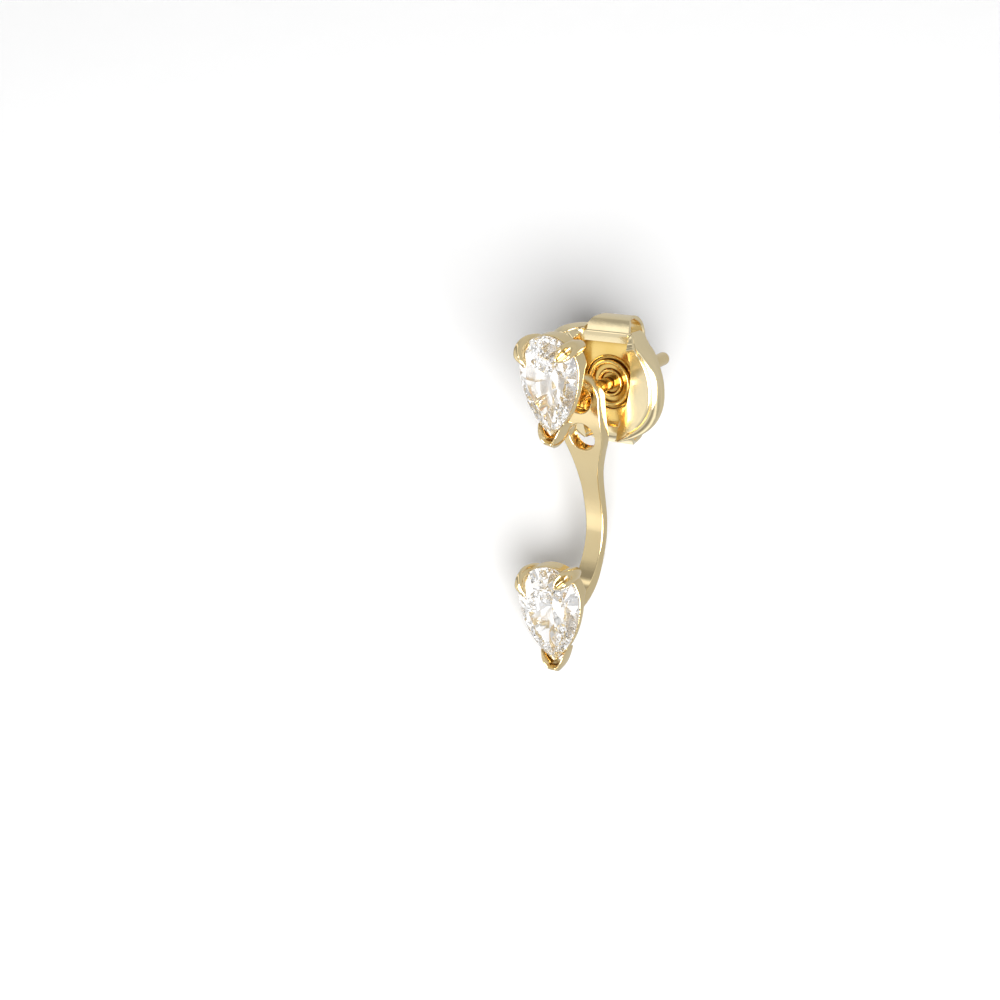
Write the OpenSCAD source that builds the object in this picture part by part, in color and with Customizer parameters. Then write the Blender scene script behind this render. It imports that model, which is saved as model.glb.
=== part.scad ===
// Ear jacket earring: a pear stud on a post, a jacket that hangs behind the lobe and carries
// a second pear below it, and a stamped clutch that slides on the post.
// X is across, Y runs back along the post and Z is up.
// The origin is on the post, at the back of the stud's head, where the lobe sits.

/* [Stones] */
// Length of each pear stone, apex to tip
stone_length = 6; // [5:0.1:8]
// Width of each pear stone
stone_width = 4; // [3.4:0.1:4.6]
// Height of the crown above the girdle
crown_height = 0.62; // [0.4:0.02:0.9]
// Depth of the pavilion below the girdle
pavilion_depth = 1.7; // [1.3:0.05:1.8]
// Thickness of the girdle
girdle_height = 0.12; // [0.06:0.02:0.2]
// Size of the table as a share of the stone
table_share = 0.56; // [0.45:0.01:0.65]
// Air left round a stone in its setting
stone_gap = 0.03; // [0.02:0.01:0.06]

/* [Settings] */
// Depth of a setting, from the girdle to its back
head_depth = 2.3; // [2:0.05:3]
// How far the wall stands outside the stone
wall_reach = 0.06; // [0.04:0.01:0.12]
// Depth of the wall at the claws and at the tip
wall_depth = 1.05; // [0.8:0.05:1.4]
// Depth of the wall between the claws
scallop_depth = 0.45; // [0.35:0.05:0.7]
// Radius of the seat behind the wall, round the post
seat_r = 0.62; // [0.55:0.01:0.8]
// Thickness of a claw at its foot
claw_thickness = 0.9; // [0.7:0.02:1.1]
// Height of the claws above the girdle
claw_height = 0.9; // [0.75:0.05:1.2]
// Width of the cup that holds the stone's tip
tip_cup_width = 1.5; // [1.3:0.05:1.8]

/* [Post] */
// Diameter of the post
post_diameter = 0.86; // [0.7:0.02:1]
// Length of the post behind the head
post_length = 11.2; // [10:0.1:13]
// Height of the stud stone's middle above the post
stud_rise = 1.43; // [1:0.01:1.6]

/* [Jacket] */
// Room between the stud's head and the jacket plate
lobe_gap = 0.75; // [0.5:0.05:1.2]
// Thickness of the plate at the holes
plate_thickness = 0.84; // [0.7:0.02:1]
// Width of the plate at the holes
plate_width = 2.9; // [2.7:0.05:3.3]
// Width of the strip at its waist
strip_width = 1.34; // [1.1:0.02:1.6]
// Thickness of the strip at its waist
strip_thickness = 0.58; // [0.5:0.02:0.8]
// Width of the bevel along the edges
edge_bevel = 0.13; // [0.08:0.01:0.18]
// Diameter of both holes
hole_diameter = 1.78; // [1.4:0.02:1.9]
// How far the upper hole's middle hangs below the post
hang = 0.12; // [0.08:0.01:0.2]
// Distance between the two holes
hole_pitch = 2.4; // [2.2:0.05:2.8]
// How far the plate leans back at the lower hole, in degrees
lean = 14; // [8:1:18]
// How far the strip bows back behind the plate
bow = 1.12; // [0.8:0.02:1.4]
// Height from the post down to the middle of the drop stone
drop_height = 12.63; // [12:0.05:15]
// How far the drop stone sits in front of the stud stone
drop_forward = 1.0; // [0.6:0.05:1.4]
// Turn of the drop's head to its right, in degrees
drop_turn = 8; // [0:1:12]
// Tilt of the drop's lobe to the left, in degrees
drop_tilt = 3; // [0:1:6]

/* [Clutch] */
// Thickness of the clutch's sheet
sheet = 0.32; // [0.25:0.01:0.4]
// Distance from the lobe side of the jacket plate to the clutch's floor
clutch_distance = 3.75; // [3.6:0.05:5]
// Width of the clutch across its wings
clutch_width = 8.6; // [8:0.1:9.5]
// Height of the wings above the post
wing_rise = 3.9; // [3.7:0.05:4.4]
// Depth of the wings below the post
wing_fall = 3.5; // [3.3:0.05:3.8]
// Height of the channel's top above the post
channel_high = 3.4; // [3.1:0.05:3.7]
// Depth of the channel's foot below the post
channel_low = 3.2; // [2.9:0.05:3.5]
// Radius of the ringed dimple round the post
dimple_r = 1.6; // [1.4:0.05:1.7]
// How far the wings bulge forward of the floor
wing_bulge = 1.4; // [0.9:0.05:1.5]
// Half width of the channel at the post
channel_half = 1.55; // [1.3:0.05:1.8]
// Width of the tongues that roll into scrolls
tongue_width = 2.7; // [2.2:0.05:3]
// Height of the scrolls above and below the post
scroll_reach = 3.95; // [3.8:0.05:4.3]
// Depth of the scrolls behind the floor
scroll_depth = 2.4; // [2.1:0.05:2.8]
// Running gap between the post and the clutch
grip_gap = 0.04; // [0.03:0.01:0.06]

/* [Hidden] */
gold = "#d9b25a";
crystal = "#eef1f4";

// The pear outline: a half circle above, and two long arcs that meet at the tip
lobe_r = stone_width / 2;
lobe_z = stone_length / 2 - lobe_r;
tip_drop = lobe_z + stone_length / 2;
wing_r = (lobe_r * lobe_r + tip_drop * tip_drop) / (2 * lobe_r);
wing_x = wing_r - lobe_r;

// Points for each quarter of the lobe and each long arc, on stones and on metal
stone_steps = 4;
metal_steps = 12;

post_r = post_diameter / 2;
hole_r = hole_diameter / 2;
plate_front = lobe_gap;
plate_mid = plate_front + plate_thickness / 2;
girdle_y = -head_depth;
drop_girdle_y = girdle_y - drop_forward;
floor_y = plate_front + clutch_distance;

// One point of the pear, grown outward, at turn t: 0 apex, 1 right side, 2 tip, 3 left side
function wing_end(grow) = acos(wing_x / (wing_r + grow));
function right_wing(grow, a) = [(wing_r + grow) * cos(a) - wing_x, lobe_z - (wing_r + grow) * sin(a)];
function pear_point(grow, t) =
    t <= 1 ? [(lobe_r + grow) * sin(90 * t), lobe_z + (lobe_r + grow) * cos(90 * t)]
    : t <= 2 ? right_wing(grow, wing_end(grow) * (t - 1))
    : let(p = pear_point(grow, 4 - t)) [-p[0], p[1]];
function pear_ring(grow, y, steps) =
    [for (i = [0 : 4 * steps - 1]) let(p = pear_point(grow, i / steps)) [p[0], y, p[1]]];

// Skin of rings with the same number of points, closed at both ends
module loft(rings) {
    n = len(rings[0]);
    last = len(rings) - 1;
    points = [for (ring = rings) for (p = ring) p];
    sides = [for (k = [0 : last - 1], i = [0 : n - 1])
        let(a = k * n + i, b = k * n + (i + 1) % n) each [[a, b + n, b], [a, a + n, b + n]]];
    caps = [[for (i = [0 : n - 1]) i], [for (i = [n - 1 : -1 : 0]) last * n + i]];
    polyhedron(points, concat(sides, caps));
}

// Cut pear, or the room that it takes when it is grown: table to the front, culet to the back
module pear_stone(grow = 0) {
    n = 4 * stone_steps;
    girdle = pear_ring(grow, 0, stone_steps);
    centre = [0, 0, lobe_z * 0.4];
    front = -girdle_height / 2 - crown_height - grow;
    back = girdle_height / 2 + pavilion_depth + grow;
    function inward(i, share, y) =
        let(p = centre + (girdle[i] - centre) * share) [p[0], y, p[2]];
    table = [for (k = [0 : 7]) inward(2 * k, table_share + grow / 4, front)];
    star_share = (1 + table_share) / 2 + 0.02;
    star_y = -girdle_height / 2 + (front + girdle_height / 2) * 0.52;
    stars = [for (k = [0 : 7]) inward(2 * k + 1, star_share, star_y)];
    rim_front = [for (p = girdle) [p[0], -girdle_height / 2 - grow / 2, p[2]]];
    rim_back = [for (p = girdle) [p[0], girdle_height / 2 + grow / 2, p[2]]];
    lower_share = 0.3;
    lower_y = girdle_height / 2 + (back - girdle_height / 2) * 0.74;
    lowers = [for (k = [0 : 7]) inward(2 * k + 1, lower_share, lower_y)];
    points = concat(table, stars, rim_front, rim_back, lowers, [[0, back, centre[2]]]);
    s = 8;
    f = 16;
    b = f + n;
    l = b + n;
    culet = l + 8;
    faces = concat(
        [[for (k = [7 : -1 : 0]) k]],
        [for (k = [0 : 7]) let(j = (k + 1) % 8, h = (k + 7) % 8, m = (2 * k + 2) % n) each [
            [k, j, s + k],
            [k, s + k, f + 2 * k], [k, f + 2 * k, s + h],
            [s + k, f + 2 * k + 1, f + 2 * k], [s + k, f + m, f + 2 * k + 1],
            [culet, l + h, b + 2 * k], [culet, b + 2 * k, l + k],
            [l + k, b + 2 * k, b + 2 * k + 1], [l + k, b + 2 * k + 1, b + m]]],
        [for (i = [0 : n - 1]) let(j = (i + 1) % n) each [[f + i, f + j, b + j], [f + i, b + j, b + i]]]
    );
    polyhedron(points, [for (face = faces) [for (i = [len(face) - 1 : -1 : 0]) face[i]]]);
}

// Smooth path through rows of numbers, and a round tube along such rows: x, y, z, radius
function spline_row(rows, i, t) =
    let(n = len(rows) - 1, a = rows[max(i - 1, 0)], b = rows[i])
    let(c = rows[min(i + 1, n)], d = rows[min(i + 2, n)])
    0.5 * (2 * b + (c - a) * t + (2 * a - 5 * b + 4 * c - d) * t * t + (3 * b - a - 3 * c + d) * t * t * t);
function spline(rows, steps) =
    [for (i = [0 : len(rows) - 2], k = [0 : steps - 1]) spline_row(rows, i, k / steps), rows[len(rows) - 1]];
function unit(v) = v / norm(v);
function between(a, b, t) = a + (b - a) * t;
module tube(rows, sides = 8) {
    n = len(rows) - 1;
    rings = [for (i = [0 : n])
        let(a = rows[max(i - 1, 0)], b = rows[min(i + 1, n)], c = rows[i])
        let(along = unit([b[0] - a[0], b[1] - a[1], b[2] - a[2]]))
        let(side = unit(cross(along, [0.13, 0.31, 0.94])), up = cross(along, side))
        [for (k = [0 : sides - 1])
            let(turn = 360 * k / sides) [c[0], c[1], c[2]] + c[3] * (cos(turn) * side + sin(turn) * up)]];
    loft(rings);
}

// Claw over the lobe: its foot and its tip are angles about the lobe's middle.
// Rows of distance out, height, thickness and turn, all of them shares. A positive distance out is
// a share of the claw's thickness, and a negative one a share of the way in to the tip.
claw_rows = [
    [-0.16, -0.62, 0.70, 0.00],
    [-0.02, -0.36, 0.90, 0.00],
    [ 0.07, -0.10, 1.00, 0.12],
    [ 0.05,  0.28, 1.00, 0.30],
    [-0.12,  0.56, 0.98, 0.50],
    [-0.42,  0.70, 0.86, 0.74],
    [-0.76,  0.84, 0.56, 0.92],
    [-1.00,  0.96, 0.14, 1.00]
];
module claw(foot_angle, tip_angle, tip_reach) {
    outside = lobe_r + wall_reach;
    points = [for (r = claw_rows)
        let(angle = foot_angle + (tip_angle - foot_angle) * r[3])
        let(far = outside + r[0] * (r[0] > 0 ? claw_thickness : outside - tip_reach))
        let(y = r[1] > 0 ? -r[1] * claw_height : -r[1] * head_depth)
        [far * cos(angle), y, lobe_z + far * sin(angle), claw_thickness / 2 * r[2]]];
    tube(spline(points, 2));
}

// Cup round the stone's tip: it follows the pear's outline to both sides of the tip, and rises
// into a lobe on each side with a slot between them, where the tip shows.
// Rows of turn, height in front of the girdle, half width and distance out. Height is a share of the
// claw's height, and the last two are shares of the cup's width.
cup_rows = [
    [0.00, 0.02, 0.20, 0.30],
    [0.25, 0.48, 0.23, 0.24],
    [0.50, 0.58, 0.23, 0.18],
    [0.75, 0.42, 0.18, 0.09],
    [1.00, 0.10, 0.08, 0.03]
];
cup_turn = 0.24;
cup_sides = 10;
module tip_cup() {
    half_rows = [for (k = [4 : -1 : 1]) let(r = cup_rows[k]) [-r[0], r[1], r[2], r[3]]];
    rows = spline(concat(half_rows, cup_rows), 2);
    loft([for (r = rows)
        let(front = -claw_height * r[1], middle = (front + wall_depth) / 2)
        [for (k = [0 : cup_sides - 1])
            let(a = 360 * k / cup_sides, out = tip_cup_width * (r[3] + r[2] * cos(a)))
            let(p = pear_point(out, 2 + cup_turn * r[0]))
            [p[0], middle - (wall_depth - front) / 2 * sin(a), p[1]]]]);
}

// Setting: a wall that is cut away between the claws, and closes to a round seat on the post.
// Seat rows: how far the outline has gone from the pear to the seat, and the depth share.
seat_rows = [[0.30, 0.32], [0.58, 0.58], [0.84, 0.82], [1.00, 1.00]];
scallop_start = 0.92;
function wall_back(t) =
    let(a = t <= 2 ? t : 4 - t, cut_in = sin(180 * max(0, a - scallop_start) / (2 - scallop_start)))
    wall_depth - (wall_depth - scallop_depth) * sqrt(max(cut_in, 0));
function seat_ring(blend, depth) =
    [for (i = [0 : 4 * metal_steps - 1])
        let(t = i / metal_steps, p = pear_point(wall_reach, t), y = wall_back(t))
        let(q = [seat_r * sin(90 * t), -stud_rise + seat_r * cos(90 * t)])
        [between(p[0], q[0], blend), between(y, head_depth, depth), between(p[1], q[1], blend)]];
module setting(claws) {
    rim_y = girdle_height / 2 + stone_gap * 1.7;
    rings = concat(
        [pear_ring(-wall_reach, rim_y, metal_steps)],
        [pear_ring(wall_reach, rim_y + girdle_height, metal_steps), seat_ring(0, 0)],
        [for (r = seat_rows) seat_ring(r[0], r[1])]
    );
    difference() {
        union() {
            loft(rings);
            for (c = claws) claw(c[0], c[1], c[2]);
            tip_cup();
        }
        pear_stone(stone_gap);
    }
}

// Foot angle, tip angle and reach of the tip, for the right and the left claw
stud_claws = [[41, 37, 1.28], [134, 166, 1.05]];
drop_claws = [[45, 50, 1.28], [132, 161, 1.2]];

module stud_place() translate([0, girdle_y, stud_rise]) children();
module drop_place() translate([0, drop_girdle_y, -drop_height])
    rotate([0, -drop_tilt, drop_turn]) children();

// Post: soldered into the back of the setting, with a rounded end
module post() {
    sunk = 0.35;
    nose = post_r * 0.75;
    rotate([-90, 0, 0])
        rotate_extrude($fn = 48)
            polygon(concat([[0, -sunk], [post_r, -sunk], [post_r, post_length - nose]],
                [for (a = [15 : 15 : 75]) [post_r * cos(a), post_length - nose + nose * sin(a)]],
                [[0, post_length]]));
}

module stud_setting() color(gold) {
    stud_place() setting(stud_claws);
    post();
}

module stud_stone() color(crystal) stud_place() pear_stone();
module drop_stone() color(crystal) drop_place() pear_stone();

// Jacket strip: rows of down, back, width and thickness.
// Down is a share of the drop height, back is of the bow, width and thickness run from waist to plate.
strip_rows = [
    [0.265, 0.20, 0.86, 0.95],
    [0.330, 0.35, 0.52, 0.90],
    [0.410, 0.56, 0.22, 0.75],
    [0.490, 0.78, 0.05, 0.45],
    [0.565, 0.93, 0.00, 0.15],
    [0.640, 1.00, 0.00, 0.00],
    [0.715, 0.94, 0.00, 0.00],
    [0.795, 0.70, 0.00, 0.00],
    [0.870, 0.26, 0.00, 0.08]
];
hole_z = -hang;
spare_z = hole_z - hole_pitch;
plate_r = plate_width / 2;
// The plate is upright at the upper hole and leans back round the lower one
lean_start = hole_z - hole_r * 0.6;
function plate_y(z) = z > lean_start ? plate_mid : plate_mid + (lean_start - z) * (lean_start - z) / 2
    * tan(lean) / (lean_start - spare_z);
drop_back_y = drop_girdle_y + head_depth;
function strip_mid(r) = [plate_mid + bow * r[1], -drop_height * r[0],
    between(strip_width, plate_width, r[2]) / 2, between(strip_thickness, plate_thickness, r[3]) / 2];
hook_rows = [[0.58, 0.942], [0.33, 0.985], [0, 1.012], [-0.1, 1.016]];
path_rows = concat(
    [for (share = [0.99, 0.86, 0.5, 0])
        [plate_mid, hole_z + plate_r * share, plate_r * sqrt(1 - share * share), plate_thickness / 2]],
    [for (share = [0.5, 0.917]) let(z = between(hole_z, spare_z, share))
        [plate_y(z), z, plate_r, plate_thickness / 2]],
    [for (r = strip_rows) strip_mid(r)],
    [for (r = hook_rows) [between(drop_back_y, plate_mid + bow, r[0]), -drop_height * r[1],
        strip_width / 2, between(strip_thickness, plate_thickness, 0.3) / 2]]
);
module strip() {
    rows = spline(path_rows, 3);
    n = len(rows) - 1;
    rings = [for (i = [0 : n])
        let(a = rows[max(i - 1, 0)], b = rows[min(i + 1, n)], c = rows[i])
        let(along = unit([b[0] - a[0], b[1] - a[1]]))
        let(out = [-along[1], along[0]], w = c[2], t = c[3], e = min(edge_bevel, w * 0.45))
        [for (q = [[w - e, 1, t], [w, 1, t - e], [w, -1, t - e], [w - e, -1, t],
                [e - w, -1, t], [-w, -1, t - e], [-w, 1, t - e], [e - w, 1, t]])
            [q[0], c[0] + out[0] * q[1] * q[2], c[1] + out[1] * q[1] * q[2]]]];
    loft(rings);
}

module ear_jacket() color(gold) {
    difference() {
        strip();
        translate([0, plate_mid, hole_z])
            rotate([90, 0, 0]) cylinder(r = hole_r, h = plate_thickness * 3, center = true, $fn = 64);
        translate([0, plate_y(spare_z), spare_z])
            rotate([90 + lean, 0, 0]) cylinder(r = hole_r, h = plate_thickness * 3, center = true, $fn = 64);
    }
    drop_place() setting(drop_claws);
}

// Clutch plate: a channel floor between two wings. Each row runs from one wing's edge
// through the channel to the other's, and each place on it is a distance from the channel.
function smooth(t) = let(s = min(max(t, 0), 1)) s * s * (3 - 2 * s);
function channel_at(z) = channel_half * between(0.55, 1.05, smooth((z / channel_low + 0.75) / 0.81));
wall_run = 0.7;
rim_run = 0.8;
rim_turn = 0.15;
wing_crown = 0.12;
low_turn = -74;
high_turn = 62;
high_corner = 0.62;
low_corner = 0.85;
band_start = 2.42;
band_tilt = 0.4;
wall_steps = [0, 0.2, 0.4, 0.6, 0.8, 1];
rim_steps = [0.25, 0.5, 0.75, 1];
function floor_at(z) = floor_y + band_tilt * max(0, z - band_start);
// Edge of the wings: a round outline with full corners above and slighter ones below
function wing_edge(turn) =
    let(corner = turn > 0 ? high_corner : low_corner, tall = turn > 0 ? wing_rise : -wing_fall)
    [clutch_width / 2 * pow(cos(turn), corner), tall * pow(abs(sin(turn)), corner)];
function wing_row(v) =
    let(z = between(-channel_low, channel_high, v), turn = between(low_turn, high_turn, v))
    let(a = [channel_at(z), z], b = wing_edge(turn), run = norm(b - a))
    let(wall = min(wall_run, run * 0.45), rim = min(rim_run, run * 0.4), outer = run - rim)
    let(top_part = [for (s = [0.33, 0.67, 1]) between(wall, outer, s)])
    let(rim_part = [for (s = rim_steps) outer + rim * s])
    [for (d = concat(wall * wall_steps, top_part, rim_part))
        let(p = a + (b - a) * d / run, over = max(0, (d - outer) / rim))
        let(crown = sin(180 * d / run) * wing_crown - rim_turn * over * over * rim / rim_run)
        let(rise = wing_bulge * smooth(d / wall) + crown)
        [p[0], floor_at(z) - rise, p[1]]];
function reversed(list) = [for (i = [len(list) - 1 : -1 : 0]) list[i]];
function full_row(v) =
    let(right = wing_row(v), a = right[0], left = [for (p = reversed(right)) [-p[0], p[1], p[2]]])
    concat(left, [for (s = [-0.5, 0, 0.5]) [a[0] * s, a[1], a[2]]], right);

module clutch_plate() {
    steps = 20;
    rows = [for (i = [0 : steps]) full_row(i / steps)];
    across = len(rows[0]);
    points = [for (back = [0, 1], row = rows, p = row) p + [0, back * sheet, 0]];
    n = (steps + 1) * across;
    function quad(a, b, c, d) = [[a, b, c], [a, c, d]];
    faces = [for (i = [0 : steps - 1], k = [0 : across - 2])
        let(a = i * across + k, b = a + 1, c = b + across, d = a + across)
        each concat(quad(a, d, c, b), quad(n + a, n + b, n + c, n + d))];
    low = [for (k = [0 : across - 2]) each quad(k, k + 1, n + k + 1, n + k)];
    top = [for (k = [0 : across - 2]) let(a = steps * across + k) each quad(a, n + a, n + a + 1, a + 1)];
    sides = [for (i = [0 : steps - 1])
        let(a = i * across, d = a + across, e = a + across - 1, f = e + across)
        each concat(quad(a, n + a, n + d, d), quad(e, f, n + f, n + e))];
    polyhedron(points, concat(faces, low, top, sides));
}

// Dimple round the post: raised rings and a funnel that guides the post in
// Rows of radius and of height in front of the floor, as shares of the dimple's radius
ring_rows = [[0.26, -0.25], [0.34, -0.04], [0.42, 0.08], [0.50, 0.09], [0.58, 0.01], [0.66, -0.02],
    [0.76, 0.12], [0.86, 0.15], [0.94, 0.06], [1.00, -0.06]];
funnel_depth = 0.4;
module dimple() {
    back = -sheet - funnel_depth;
    rotate([90, 0, 0])
        translate([0, 0, -floor_y])
            rotate_extrude($fn = 64)
                polygon(concat([[0, back], [0, -funnel_depth]], dimple_r * ring_rows,
                    [[dimple_r * 0.86, -sheet * 0.9], [dimple_r * 0.5, -sheet * 0.9], [dimple_r * 0.3, back]]));
}

// Scroll: the tongue goes over the top, down behind and in against the post
function arc(cy, cz, ry, rz, from, to, step) =
    [for (a = [from : step : to]) [cy + ry * cos(a), cz + rz * sin(a)]];
over_rise = 0.8;
curl_turn = 215;
module scroll() {
    half = sheet / 2;
    band_top = scroll_reach - over_rise;
    front = floor_at(band_top) + half;
    back = floor_y + scroll_depth;
    low = post_r + grip_gap + half;
    over_y = (back - front) / 2;
    over_z = scroll_reach - half - band_top;
    curl_y = scroll_depth * 0.36;
    curl_z = curl_y * 1.05;
    mid = concat(
        [[floor_y + half * 1.1, band_start - sheet], [front - sheet * 0.3, band_top - sheet * 0.6]],
        arc((front + back) / 2, band_top, over_y, over_z, 180, 0, -12),
        arc(back - curl_y, low + curl_z, curl_y, curl_z, 0, -curl_turn, -12)
    );
    n = len(mid) - 1;
    function side(i, s) =
        let(d = unit(mid[min(i + 1, n)] - mid[max(i - 1, 0)])) mid[i] + s * half * [-d[1], d[0]];
    band = concat([for (i = [0 : n]) side(i, 1)], [for (i = [n : -1 : 0]) side(i, -1)]);
    rotate([90, 0, 90])
        linear_extrude(height = tongue_width, center = true) polygon(band);
}

module butterfly_back() color(gold)
    difference() {
        union() {
            clutch_plate();
            dimple();
            scroll();
            mirror([0, 0, 1]) scroll();
        }
        rotate([-90, 0, 0]) cylinder(r = post_r + grip_gap, h = post_length * 2, center = true, $fn = 48);
    }

stud_setting();
stud_stone();
ear_jacket();
drop_stone();
butterfly_back();
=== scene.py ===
import bpy
import bmesh
import math
from mathutils import Matrix, Vector


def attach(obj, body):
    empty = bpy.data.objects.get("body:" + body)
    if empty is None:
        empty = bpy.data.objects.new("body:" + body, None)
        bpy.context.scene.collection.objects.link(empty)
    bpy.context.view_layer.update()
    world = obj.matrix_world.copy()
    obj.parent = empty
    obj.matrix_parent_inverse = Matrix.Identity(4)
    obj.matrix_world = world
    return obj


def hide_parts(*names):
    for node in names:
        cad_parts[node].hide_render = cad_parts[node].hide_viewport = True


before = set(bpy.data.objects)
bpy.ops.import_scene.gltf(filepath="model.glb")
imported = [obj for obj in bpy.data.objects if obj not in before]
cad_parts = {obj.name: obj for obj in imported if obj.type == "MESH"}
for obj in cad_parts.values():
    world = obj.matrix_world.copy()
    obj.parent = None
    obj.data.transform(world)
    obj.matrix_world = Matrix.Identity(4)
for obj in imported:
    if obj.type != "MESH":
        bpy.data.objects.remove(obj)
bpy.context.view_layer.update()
mm = 0.001

# Small helpers: curves through rows of numbers, and turning point lists into pieces


def mix(a, b, t):
    return a + (b - a) * t


def ease(t):
    t = min(max(t, 0.0), 1.0)
    return t * t * (3 - 2 * t)


def splineRow(rows, i, t):
    a, b = rows[max(i - 1, 0)], rows[i]
    c, d = rows[min(i + 1, len(rows) - 1)], rows[min(i + 2, len(rows) - 1)]
    return [0.5 * (2 * q + (r - p) * t + (2 * p - 5 * q + 4 * r - s) * t * t
                   + (3 * q - p - 3 * r + s) * t ** 3)
            for p, q, r, s in zip(a, b, c, d)]


def spline(rows, steps):
    out = [splineRow(rows, i, k / steps) for i in range(len(rows) - 1) for k in range(steps)]
    return out + [list(rows[-1])]


def skin(rings, closed=True):
    # rings of points with the same count, joined into one closed skin
    n = len(rings[0])
    verts = [p for ring in rings for p in ring]
    faces = [(k * n + i, k * n + (i + 1) % n, (k + 1) * n + (i + 1) % n, (k + 1) * n + i)
             for k in range(len(rings) - 1) for i in range(n)]
    if closed:
        faces += [tuple(range(n - 1, -1, -1)), tuple((len(rings) - 1) * n + i for i in range(n))]
    return verts, faces


def turned(rows, sides):
    # rows of radius and y, turned round the post's axis
    angles = [2 * math.pi * j / sides for j in range(sides)]
    return [[(q * math.cos(a), y, q * math.sin(a)) for a in angles] for q, y in rows]


def hoop(rings):
    # rings joined into a closed tube, the last one to the first
    verts, faces = skin(rings, closed=False)
    n, last = len(rings[0]), len(rings) - 1
    faces += [(last * n + i, last * n + (i + 1) % n, (i + 1) % n, i) for i in range(n)]
    return verts, faces


def bmeshOf(verts, faces):
    bm = bmesh.new()
    made = [bm.verts.new(v) for v in verts]
    for f in faces:
        bm.faces.new([made[i] for i in f])
    return bm


def place(name, bm, material, body, nodes=(), crease=40, at=None, even=False):
    # a finished piece: millimetres to metres, outward faces, smooth but for edges sharper than crease;
    # even weighs the shading by face size, so that large flats look flat
    if at is not None:
        bmesh.ops.transform(bm, matrix=at, verts=bm.verts)
    bmesh.ops.scale(bm, vec=(mm, mm, mm), verts=bm.verts)
    bmesh.ops.recalc_face_normals(bm, faces=bm.faces)
    for f in bm.faces:
        f.smooth = crease > 0
    for e in bm.edges:
        e.smooth = crease > 0 and (not e.is_manifold or e.calc_face_angle(0) < math.radians(crease))
    mesh = bpy.data.meshes.new(name)
    bm.to_mesh(mesh)
    bm.free()
    obj = bpy.data.objects.new(name, mesh)
    bpy.context.scene.collection.objects.link(obj)
    mesh.materials.append(material)
    if even:
        obj.modifiers.new("even", "WEIGHTED_NORMAL").keep_sharp = True
    if body:
        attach(obj, body)
        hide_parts(*nodes)
    return obj


def fused(parts, voxel, rounds):
    # several closed shapes cast into one skin, then smoothed as a polished casting is
    whole = bmesh.new()
    for bm in parts:
        mesh = bpy.data.meshes.new("part")
        bm.to_mesh(mesh)
        bm.free()
        whole.from_mesh(mesh)
        bpy.data.meshes.remove(mesh)
    bmesh.ops.recalc_face_normals(whole, faces=whole.faces)
    mesh = bpy.data.meshes.new("casting")
    whole.to_mesh(mesh)
    whole.free()
    obj = bpy.data.objects.new("casting", mesh)
    bpy.context.scene.collection.objects.link(obj)
    remesh = obj.modifiers.new("cast", "REMESH")
    remesh.mode = "VOXEL"
    remesh.voxel_size = voxel
    smooth = obj.modifiers.new("polish", "SMOOTH")
    smooth.factor = 0.5
    smooth.iterations = rounds
    done = bpy.data.meshes.new_from_object(obj.evaluated_get(bpy.context.evaluated_depsgraph_get()))
    bm = bmesh.new()
    bm.from_mesh(done)
    bpy.data.objects.remove(obj)
    bpy.data.meshes.remove(mesh)
    bpy.data.meshes.remove(done)
    return bm


# Materials


def nodeMaterial(name):
    material = bpy.data.materials.new(name)
    material.use_nodes = True
    tree = material.node_tree
    return material, tree, tree.nodes["Principled BSDF"], tree.nodes["Material Output"]


# underStone is the pale colour painted on metal seen through a stone, a painted brightness for the stones
gold = {"gloss": 0.10, "haze": 0.19, "hazeScale": 700, "polishScale": 4000, "polishDepth": 0.03,
        "polishReach": 0.1 * mm, "creaseRays": 8, "underStone": (0.94, 0.93, 0.91, 1)}
# each piece's gold: main colour and its variation, then the painted shade in its creases: the crease colour,
# how far a crease reaches, and between which shares of open sky it fades out
tones = {"setting": {"bright": (0.93, 0.77, 0.46, 1), "warm": (0.89, 0.71, 0.39, 1),
                     "crease": (0.55, 0.38, 0.13, 1), "reach": 0.3 * mm, "from": 0.38, "to": 0.85},
         "jacket": {"bright": (0.90, 0.74, 0.43, 1), "warm": (0.86, 0.68, 0.37, 1),
                    "crease": (0.38, 0.20, 0.02, 1), "reach": 0.5 * mm, "from": 0.25, "to": 0.8},
         "clutch": {"bright": (0.96, 0.83, 0.54, 1), "warm": (0.93, 0.77, 0.46, 1),
                    "crease": (0.42, 0.22, 0.02, 1), "reach": 0.6 * mm, "from": 0.25, "to": 0.7},
         # the channel's darker gold is painted shade of the recess, on the same metal as the wings
         "channel": {"bright": (0.84, 0.62, 0.24, 1), "warm": (0.76, 0.52, 0.15, 1),
                     "crease": (0.28, 0.13, 0.01, 1), "reach": 0.45 * mm, "from": 0.35, "to": 0.9}}


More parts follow.
